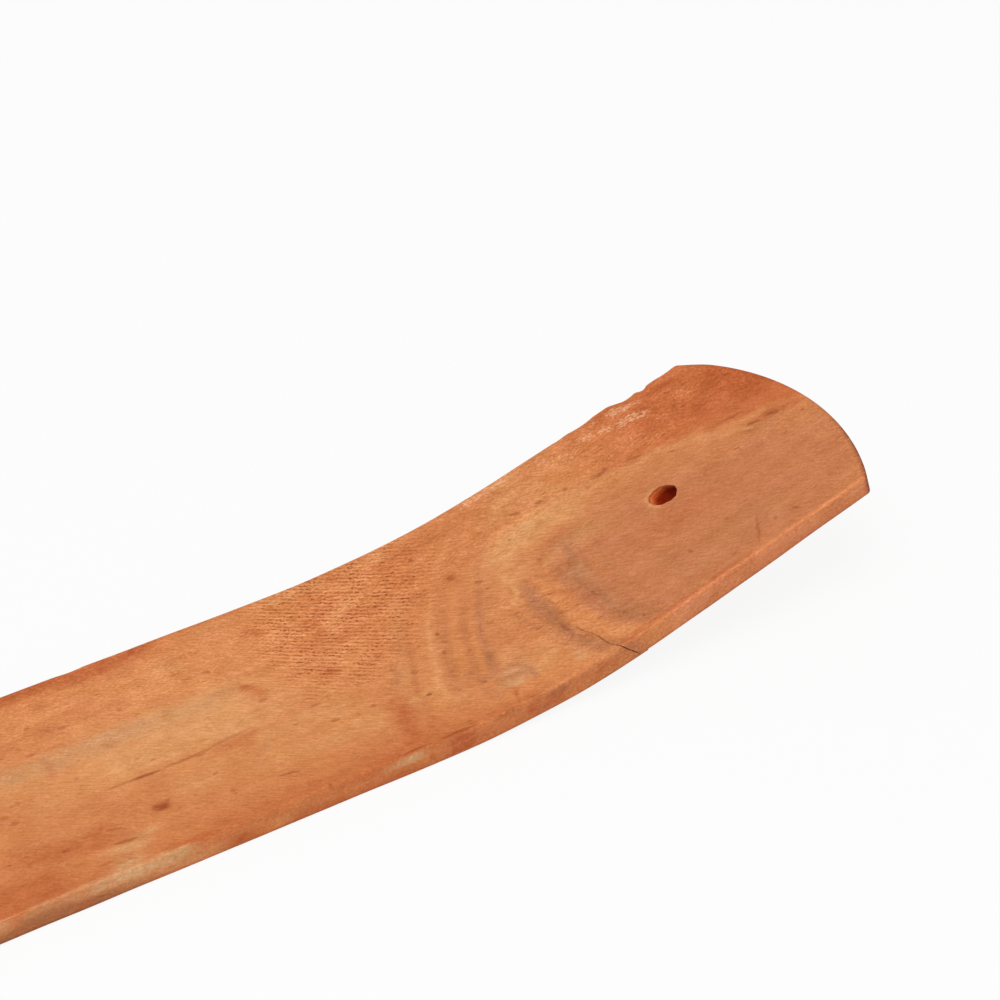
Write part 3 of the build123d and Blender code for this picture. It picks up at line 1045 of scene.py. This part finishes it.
# %% Specks and dashes
specks_list = (
    # run, across, half length, half width, turn, share
    (-34.4, 8.0, 0.9, 0.7, 40, 0.85),
    (-34.8, 8.1, 1.7, 1.0, 30, 0.4),
    (-33.6, 8.6, 0.8, 0.35, 25, 0.6),
    (-33.0, 6.6, 0.5, 0.3, -20, 0.4),
    (-47.8, 7.1, 0.8, 0.4, 0, 0.5),
    (-49.2, 6.6, 0.5, 0.4, 0, 0.4),
    (-45.3, 2.45, 1.3, 0.3, -8, 0.5),
    (-42.0, 1.6, 0.9, 0.5, -40, 0.4),
    (-41.3, 4.75, 2.0, 0.35, -9, 0.8),
    (-41.4, 7.4, 1.4, 0.28, -14, 0.5),
    (-50.8, 14.9, 0.8, 0.45, 0, 0.6),
    (-48.9, 18.0, 0.5, 0.5, 0, 0.4),
    (-51.5, 16.4, 0.9, 0.4, -10, 0.4),
    (-48.9, 4.7, 0.5, 0.4, 0, 0.4),
    (-33.6, 14.2, 2.8, 0.34, -3, 1.0),
    (-37.0, 14.3, 2.5, 0.26, 0, 0.5),
    (-27.6, 14.3, 4.4, 0.34, 2, 0.65),
    (-21.6, 14.9, 3.6, 0.42, 6, 0.45),
    (-26.0, 14.1, 0.8, 0.35, 0, 0.6),
    (-24.3, 16.3, 1.1, 0.3, -10, 0.3),
    (-33.0, 17.6, 0.6, 0.4, 0, 0.35),
    (-40.9, 18.2, 0.6, 0.5, 40, 0.35),
    (-43.6, 25.3, 0.8, 0.4, 0, 0.6),
    (-30.3, 27.4, 0.5, 0.4, 0, 0.5),
    (-37.6, 28.1, 1.1, 0.35, 0, 0.4),
    (-39.6, 28.3, 0.6, 0.35, -20, 0.4),
    (-17.4, 28.1, 0.8, 0.35, -25, 0.7),
    (-20.2, 28.3, 0.9, 0.3, -10, 0.4),
    (-14.3, 19.2, 0.8, 0.4, 0, 0.6),
    (-14.9, 22.8, 1.0, 0.5, -10, 0.5),
    (-9.4, 14.7, 1.4, 0.35, 3, 0.6),
    (-8.7, 10.8, 0.9, 0.45, -15, 0.7),
    (-3.2, 10.6, 0.9, 0.35, -8, 0.5),
    (-5.8, 10.3, 0.35, 0.4, 0, 0.5),
    (-26.2, 9.8, 0.6, 0.3, 0, 0.5),
    (-26.0, 5.9, 0.5, 0.4, 0, 0.45),
    (-18.8, 4.95, 1.7, 0.28, -10, 0.7),
    (-5.3, 3.5, 0.7, 0.4, 0, 0.4),
    (2.8, 0.25, 3.6, 0.30, 0, 0.8),
    (-3.6, 0.30, 2.8, 0.28, 0, 0.8),
    (9.6, 0.10, 2.8, 0.20, 0, 0.5),
    (14.0, 0.20, 1.8, 0.22, 0, 0.5),
    (3.7, 8.6, 0.55, 0.38, 0, 1.0),
    (10.9, 18.0, 0.42, 0.42, 0, 1.0),
    (10.9, 16.2, 0.4, 0.5, 0, 0.4),
    (9.7, 14.45, 0.36, 0.5, -30, 0.7),
    (8.4, 10.7, 0.5, 0.5, 0, 0.4),
    (10.6, 6.5, 0.45, 0.4, 0, 0.6),
    (4.5, 13.4, 0.7, 0.6, 60, 0.5),
    (2.3, 15.4, 0.5, 0.5, 0, 0.4),
    (12.4, 12.8, 0.5, 0.4, 0, 0.4),
    (17.3, 15.4, 0.9, 0.5, 0, 0.4),
    (16.2, 32.7, 0.5, 0.6, 30, 1.0),
    (7.4, 27.7, 0.6, 0.4, 0, 0.8),
    (18.3, 26.1, 0.9, 0.6, 20, 0.45),
    (-4.0, 19.5, 0.9, 0.5, -30, 0.3),
    (24.1, 8.0, 0.4, 1.3, 0, 0.75),
    (23.5, 5.9, 1.4, 0.26, 25, 0.4),
    (24.9, 5.3, 0.9, 0.22, -45, 0.6),
    (24.2, 6.6, 0.9, 0.24, 60, 0.35),
    (25.6, 4.8, 0.8, 0.22, -60, 0.8),
    (22.6, 5.2, 0.7, 0.2, -30, 0.5),
    (25.4, 10.8, 0.5, 0.4, 0, 0.5),
    (26.2, 14.6, 1.1, 0.26, -24, 0.5),
    (25.7, 10.4, 0.8, 0.24, -10, 0.55),
    (25.5, 13.3, 0.28, 0.7, 0, 0.4),
    (27.6, 10.2, 0.6, 0.26, 30, 0.4),
    (30.4, 10.5, 0.32, 0.7, 0, 0.55),
    (32.7, 2.5, 0.35, 0.35, 0, 0.6),
    (31.5, 4.8, 0.6, 0.4, 0, 0.4),
    (21.0, 14.6, 0.6, 0.26, -20, 0.5),
    (21.5, 10.4, 0.7, 0.26, -20, 0.5),
    (27.6, 17.6, 1.3, 0.26, -32, 0.35),
    (20.7, 23.0, 0.9, 0.4, -30, 0.5),
    (28.9, 20.7, 0.5, 0.4, 0, 0.4),
    (31.5, 30.4, 1.2, 0.4, -22, 0.8),
    (35.1, 29.8, 0.8, 0.4, -20, 0.8),
    (39.0, 29.1, 0.6, 0.35, -30, 0.7),
    (44.0, 27.8, 1.5, 0.45, 8, 0.6),
    (45.1, 28.1, 0.4, 0.5, -20, 0.6),
    (48.8, 26.9, 1.8, 0.35, -12, 0.4),
    (37.4, 21.2, 0.9, 0.4, 20, 0.4),
    (43.6, 6.9, 0.6, 0.4, -50, 0.7),
    (57.9, 2.8, 0.8, 0.35, -50, 0.6),
    (54.9, 3.3, 0.45, 0.45, 0, 0.5),
    (47.2, 2.1, 0.5, 0.35, 0, 0.4),
    (50.6, 8.0, 0.35, 0.4, 0, 0.4),
    (53.6, 16.8, 0.35, 0.6, 0, 0.35),
    (65.8, 14.8, 0.5, 0.4, 0, 0.4),
    (52.2, 3.4, 3.4, 0.34, 56, 0.5),
    (53.3, 23.8, 0.9, 0.35, -30, 0.5),
    (62.6, 22.8, 2.0, 0.40, -10, 0.6),
    (64.0, 19.7, 1.3, 0.35, -14, 0.9),
    (66.8, 19.3, 1.3, 0.40, -14, 0.7),
    (62.8, 18.8, 1.4, 0.28, -32, 0.5),
    (59.4, 31.6, 0.6, 0.4, -20, 0.6),
    (56.6, 32.2, 0.7, 0.6, 30, 0.4),
    (64.4, 23.7, 0.6, 0.5, 0, 0.4),
)
print(len(specks_list), "specks and dashes")

# %% [markdown]
# ## The board's finish
#
# The visible wood has a thin dry look, with no varnish. Its colour is built in the order in which the
# real one came about: the rings, then the tints, crumbs and specks on top, then wear at the edges, then
# the saw's marks, and the fibre over all of it. Painted highlights and painted shade go in with the
# crack, the edges, the saw's marks and the fibre. One material with a layer for each step could also be
# baked to an image, but nodes stay sharp at any distance.

# %% Board wood: rings and raggedness
wood = bpy.data.materials.new("board_wood")
wood.use_nodes = True
wood_shader = wood.node_tree.nodes["Principled BSDF"]
bench = WoodBench(wood.node_tree)
place_in = bench.attribute("place")["Vector"]
run_in, across_in, depth_in = bench.split(place_in)
rings = bench.place_group(rings_group, Place=place_in)
colour = rings["Colour"]

# Ragged noise loosens the outlines, and patchy noise wears the tints thin
ragged_noise = bench.noise(place_in, (1.6, 1.1, 1.1), detail=4.0, rough=0.65)
ragged = bench.vector("SUBTRACT", ragged_noise[1], noise_middle)
patchy = bench.plus(bench.about(ragged_noise[0], 1.2), 0.9)
print("board wood starts with", len(wood.node_tree.nodes), "nodes")

# %% Board wood: tints and crumbs
painted_in = bench.attribute("weights")
weight_in = bench.put("SeparateColor", {}, {0: painted_in["Color"]}).outputs
cream_in = painted_in["Alpha"]
tints = (
    # weight, colour
    (weight_in[0], paint(218, 151, 95)),
    (weight_in[1], paint(182, 91, 46)),
    (weight_in[2], paint(178, 114, 74)),
    (cream_in, paint(209, 156, 108)),
)
for weight, tint in tints:
    uneven = bench.math("MAXIMUM", bench.times(weight, patchy), 0.0)
    colour = bench.mix(bench.math("MINIMUM", uneven, 1.0), colour, tint)

crumb_noise = bench.noise(place_in, (0.55, 0.4, 0.4), detail=2.0, rough=0.6)[0]
crumbs_in = bench.attribute("crumbs")["Fac"]
crumbs = bench.plus(crumbs_in, bench.about(crumb_noise, 1.8))
crumbs = bench.times(bench.step(crumbs, 0.55, 1.15, 0.75), bench.step(crumbs_in, 0.0, 0.4))
colour = bench.mix(crumbs, colour, paint(230, 168, 126))
print("with tints and crumbs it has", len(wood.node_tree.nodes))

# %% Board wood: specks and the crack
speck_looseness = (1.0, 0.5, 0)
speck_share = 0.66
loose = bench.vector("MULTIPLY_ADD", ragged, speck_looseness, place_in)
dark = 0.0
for run_mid, across_mid, half_length, half_width, turn, share in specks_list:
    speck = bench.patch(loose, (run_mid, across_mid), (half_length, half_width), turn, high=share)
    dark = bench.math("MAXIMUM", dark, speck)
dark = bench.times(dark, bench.step(depth_in, 1.2, 0.3))
colour = bench.mix(bench.times(dark, speck_share), colour, paint(136, 58, 22))
crack_in = bench.attribute("crack")["Fac"]
# The crack is painted near black, as painted shade inside it
colour = bench.mix(bench.step(crack_in, 0.05, 0.6, 0.9), colour, paint(92, 40, 14))
print("with specks and the crack it has", len(wood.node_tree.nodes))

# %% Board wood: worn edges, painted highlight and painted shade
# The near arris is rubbed dark and red along the tray, and up the ramp it is bare and pale with a
# painted highlight
arris_in = bench.step(bench.attribute("arris")["Fac"], 0.45, 1.0)
arris_in = bench.times(arris_in, bench.step(across_in, 1.0, 0.3))
rubbed = bench.times(arris_in, bench.step(run_in, 6.0, -2.0, 0.4), bench.step(cream_in, 0.4, 0.1))
colour = bench.mix(bench.times(rubbed, patchy), colour, paint(170, 80, 38))
# Up the ramp the arris is worn pale, and a painted highlight runs along it
worn_arris_highlight = bench.times(bench.step(arris_in, 0.4, 1.0), bench.step(run_in, 34.0, 66.0, 0.9, 0.2))
worn_arris_highlight = bench.times(worn_arris_highlight, bench.step(ragged_noise[0], 0.44, 0.58, 1.0, 0.15))
colour = bench.mix(worn_arris_highlight, colour, paint(236, 148, 92))

# The ramp's near side is bare and pink
pink = bench.times(bench.step(across_in, 0.7, 0.2, 0.5), bench.step(run_in, 27.0, 38.0))
colour = bench.mix(pink, colour, paint(224, 136, 89))

# The tip's arris is dark, most of all at the near corner: dark end grain, and painted shade of the end
# face seen edge on
dark_end_and_shade = bench.times(bench.attribute("end")["Fac"], bench.step(across_in, 16.0, 8.0, 0.85, 0.25))
dark_end_and_shade = bench.times(dark_end_and_shade, bench.step(ragged_noise[0], 0.30, 0.5))
colour = bench.mix(dark_end_and_shade, colour, paint(120, 42, 22))
print("with worn edges it has", len(wood.node_tree.nodes))

# %% Board wood: places along and across the saw's stroke
saw_pitch = 0.74
saw_slant = radians(36)
saw_along = bench.vector("DOT_PRODUCT", place_in, (cos(saw_slant), -sin(saw_slant), 0))
saw_across = bench.vector("DOT_PRODUCT", place_in, (sin(saw_slant), cos(saw_slant), 0))
saw_place = bench.put("CombineXYZ", {}, {0: saw_along, 1: saw_across, 2: depth_in}).outputs[0]
saw_wobble = bench.about(bench.noise(saw_place, (1.6, 1.0, 1.0), detail=4.0, rough=0.6)[0], 0.55)
saw_wave = bench.math("SINE", bench.times(bench.plus(saw_across, saw_wobble), 2 * pi / saw_pitch))
saw_mask = bench.patch(place_in, (2.5, 29), (22, 15), 35, 0.35)
saw_mask = bench.times(saw_mask, bench.step(run_in, -15.0, -6.0))
print(f"saw lines lie {saw_pitch:.2f} mm apart")

# %% Board wood: saw lines
# They slant across the bend and break off here and there
saw_broken = bench.step(bench.noise(saw_place, (0.42, 0.36, 0.36), detail=1.0)[0], 0.46, 0.60)
saw_dense = bench.step(bench.noise(place_in, (3.4, 2.4, 2.4), detail=2.0)[0], 0.36, 0.62, 1.0, 0.3)
colour = bench.mix(bench.times(saw_mask, 0.22), colour, paint(206, 112, 54))
saw_dark = bench.times(bench.step(saw_wave, -0.4, 0.7), saw_broken, saw_dense, saw_mask)
colour = bench.mix(bench.times(saw_dark, 0.95), colour, paint(156, 70, 29))
# A painted highlight lightens the ridges between the saw's lines
saw_ridge_highlight = bench.times(bench.step(saw_wave, 0.2, -0.9), saw_mask)

# Fine scratches with the saw's slant lie all over, most of all at the bend
scratch = bench.about(bench.noise(saw_place, (2.0, 0.25, 0.25), detail=2.0)[0], 0.50)
scratch = bench.times(scratch, bench.plus(bench.patch(place_in, (14, 22), (44, 30), 0, 0.3, 0.3), 0.7))
print("with saw marks it has", len(wood.node_tree.nodes))

# %% Board wood: how strong the fibre shows
# It is stronger in the near half of the rings, on the far side, among the saw lines and up the far ramp
arc = rings["Arc"]
near_ring = bench.times(bench.step(arc, 17.0, 20.0, 0.36), bench.step(arc, 34.0, 29.0))
near_ring = bench.times(near_ring, bench.step(across_in, 21.0, 17.0))
far_side = bench.plus(bench.step(across_in, 24.0, 29.0, 0.5), bench.times(saw_mask, 0.4))
far_ramp = bench.times(bench.step(across_in, 22.0, 28.0), bench.step(run_in, 30.0, 58.0, 0.4))
fibre_strength = bench.plus(near_ring, far_side, far_ramp, 0.74)

# The near side is painted darker low down, as painted shade, most of all along its lower arris
low_side_shade = bench.plus(bench.step(depth_in, 1.0, 3.4, 0.10), bench.step(depth_in, 2.7, 3.4, 0.30))
# Towards the tail the lower half of the side is darker too
worn = bench.times(bench.step(depth_in, 1.2, 2.2, 0.22), bench.step(run_in, -38.0, -50.0))
shaded = bench.times(bench.step(depth_in, 0.8, 2.6, 0.08), bench.step(run_in, 34.0, 48.0))
low_side_shade = bench.times(bench.plus(low_side_shade, worn, shaded), bench.step(across_in, 1.2, 0.3))
# Scratches, the painted highlight on the saw's ridges and this painted shade go to the fibre as one
# shade
scratches_and_painted_light = bench.math("SUBTRACT", bench.plus(bench.times(saw_ridge_highlight, 0.20), scratch), low_side_shade)
print("with its shading it has", len(wood.node_tree.nodes))


# %% Board wood: fibre, gloss and relief
def finish_wood(bench, shader, colour, fibre, height, roughness, gloss):
    """Lays the fibre over a colour and sets the dry finish and its relief."""
    colour = bench.mix(1.0, colour, fibre["Gain"], "MULTIPLY")
    bench.feed(shader.inputs["Base Color"], colour)
    shader.inputs["Roughness"].default_value = roughness
    shader.inputs["Specular IOR Level"].default_value = gloss
    bump = bench.put("Bump", {}, {"Strength": 1.0, "Distance": MM, "Height": height})
    bench.feed(shader.inputs["Normal"], bump.outputs[0])


saw_groove = 0.05
fibre = bench.place_group(fibre_group, Place=place_in, Strength=fibre_strength, Cut=scratches_and_painted_light)
height = bench.math("SUBTRACT", fibre["Height"], bench.times(saw_dark, saw_groove))
finish_wood(bench, wood_shader, colour, fibre, height, roughness=0.62, gloss=0.15)
print("board wood has", len(wood.node_tree.nodes), "nodes")

# %% [markdown]
# ## End grain and drilled wall
#
# Where the fibres are cut end on, wood takes up dirt and stain and turns dark: at the two ends and
# inside the hole. In the hole the wall is also painted light at the mouth and painted shade deeper in.
# Both could share the board's finish with another tint, but there are no strokes or saw lines there. So
# one short function makes both finishes from the same two groups, with one tint near the upper face and
# another further in.


# %% End grain and drilled wall
def dark_wood(name, near_tint_and_light, deep_tint_and_shade):
    """Cut wood with its fibres end on: the rings' colours tinted one way near the upper face and another
    further in.
    """
    made = bpy.data.materials.new(name)
    made.use_nodes = True
    bench = WoodBench(made.node_tree)
    place_in = bench.attribute("place")["Vector"]
    fibre = bench.place_group(fibre_group, Place=place_in, Strength=1.2, Cut=0.0)
    rings = bench.place_group(rings_group, Place=place_in)
    tint = bench.mix(bench.step(bench.split(place_in)[2], 0.0, 1.6), near_tint_and_light, deep_tint_and_shade)
    colour = bench.mix(1.0, rings["Colour"], tint, "MULTIPLY")
    shader = made.node_tree.nodes["Principled BSDF"]
    finish_wood(bench, shader, colour, fibre, fibre["Height"], roughness=0.75, gloss=0.05)
    return made


end_grain = dark_wood("end_grain", (0.46, 0.30, 0.26, 1), (0.60, 0.46, 0.38, 1))
# The drilled wall is painted light at its mouth and near black deeper in: painted light and shade in the
# hole
drilled = dark_wood("drilled_wall", (1.5, 1.0, 0.68, 1), (0.60, 0.12, 0.04, 1))
for finish in (wood, end_grain, drilled):
    mesh.materials.append(finish)
print("the board has", len(mesh.materials), "finishes")

# %% [markdown]
# ## A white floor
#
# The photo shows the holder on plain white. A bright lamp could bleach the floor, but would bleach the
# wood too. So the floor glows by itself, but only for rays that come from the camera or by way of gloss
# or glass. To all other light it is plain paper, which sends a little light up at the board. A tenth of
# the paper still shows to the camera, and holds a soft shadow.

# %% Floor
half_floor = 3.0
corners = [(-1, -1), (1, -1), (1, 1), (-1, 1)]
floor_mesh = bpy.data.meshes.new("floor")
floor_mesh.from_pydata([(half_floor * x, half_floor * y, 0) for x, y in corners], [], [(0, 1, 2, 3)])
floor = bpy.data.objects.new("floor", floor_mesh)
bpy.context.scene.collection.objects.link(floor)
print(f"floor of {2 * half_floor:.0f} m")


# %% White paper
def seen_directly(bench):
    """1 for rays from the camera, or by way of gloss or glass, which show the plain background too."""
    path = bench.put("LightPath", {}, {}).outputs
    mirrored = bench.math("MAXIMUM", path["Is Glossy Ray"], path["Is Transmission Ray"])
    return bench.math("MAXIMUM", path["Is Camera Ray"], mirrored)


white = (1, 1, 1, 1)
glow_share = 0.9
paper = bpy.data.materials.new("white_floor")
paper.use_nodes = True
bench = Bench(paper.node_tree)
paper_shader = paper.node_tree.nodes["Principled BSDF"]
paper_shader.inputs["Base Color"].default_value = (0.8, 0.8, 0.8, 1)
paper_shader.inputs["Roughness"].default_value = 1.0
paper_shader.inputs["Specular IOR Level"].default_value = 0.0
glow = bench.put("Emission", {}, {"Color": white, "Strength": 1.0}).outputs[0]
share = bench.times(seen_directly(bench), glow_share)
mixed = bench.put("MixShader", {}, {0: share, 1: paper_shader.outputs[0], 2: glow}).outputs[0]
bench.feed(paper.node_tree.nodes["Material Output"].inputs["Surface"], mixed)
floor_mesh.materials.append(paper)
print(f"the paper glows {glow_share:.0%} to the camera")

# %% [markdown]
# ## Camera
#
# The photo was taken from the board's near side, looking along it and down. A camera could be placed by
# eye. Here its place, turn and lens were fitted to the board's edges in the photo, so each is a
# measured number.

# %% Camera
lens = 112.49
look_down = 34.659
look_right = 33.375
camera_data = bpy.data.cameras.new("camera")
camera_data.lens = lens
camera_data.sensor_width = 36
camera_data.clip_start = 0.01
camera = bpy.data.objects.new("camera", camera_data)
camera.location = (-68.963 * MM, -273.468 * MM, 246.971 * MM)
camera.rotation_euler = (radians(90 - look_down), 0, radians(-look_right))
bpy.context.scene.collection.objects.link(camera)
bpy.context.scene.camera = camera
print(f"camera looks down {look_down:.1f} degrees through a {lens:.0f} mm lens")

# %% [markdown]
# ## World and lamps
#
# The photo has soft, even light with no clear shadow: a big lamp overhead and a weaker one in front, in
# a pale room. An image of a studio could light the scene. Two broad area lamps and a plain sky do it
# with a few numbers. The sky is plain white to the camera and weaker to the board.

# %% World
sky_strength = 0.45
world = bpy.data.worlds.new("studio")
world.use_nodes = True
bench = Bench(world.node_tree)
backdrop = bench.put("Background", {}, {"Color": white, "Strength": 1.0}).outputs[0]
soft_sky = bench.put("Background", {}, {"Color": white, "Strength": sky_strength}).outputs[0]
mixed = bench.put("MixShader", {}, {0: seen_directly(bench), 1: soft_sky, 2: backdrop}).outputs[0]
bench.feed(world.node_tree.nodes["World Output"].inputs["Surface"], mixed)
bpy.context.scene.world = world
bpy.context.scene.view_settings.view_transform = "Standard"
print(f"sky of strength {sky_strength:.2f}")

# %% Lamps
lamps = (
    # name, place in metres, size in metres, power in watts
    ("overhead", (-0.25, -0.25, 0.9), 0.7, 6.1),
    ("front", (0.15, -0.9, 0.45), 0.7, 1.65),
)
for name, spot, size, power in lamps:
    lamp_data = bpy.data.lights.new(name, "AREA")
    lamp_data.size = size
    lamp_data.energy = power
    lamp = bpy.data.objects.new(name, lamp_data)
    lamp.location = spot
    lamp.rotation_euler = (-Vector(spot)).to_track_quat("-Z", "Y").to_euler()
    bpy.context.scene.collection.objects.link(lamp)
    print(name, "lamp of", power, "watts")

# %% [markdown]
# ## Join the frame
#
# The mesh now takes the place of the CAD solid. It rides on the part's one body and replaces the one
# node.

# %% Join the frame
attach(board, "root")
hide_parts("ash_catcher_board")
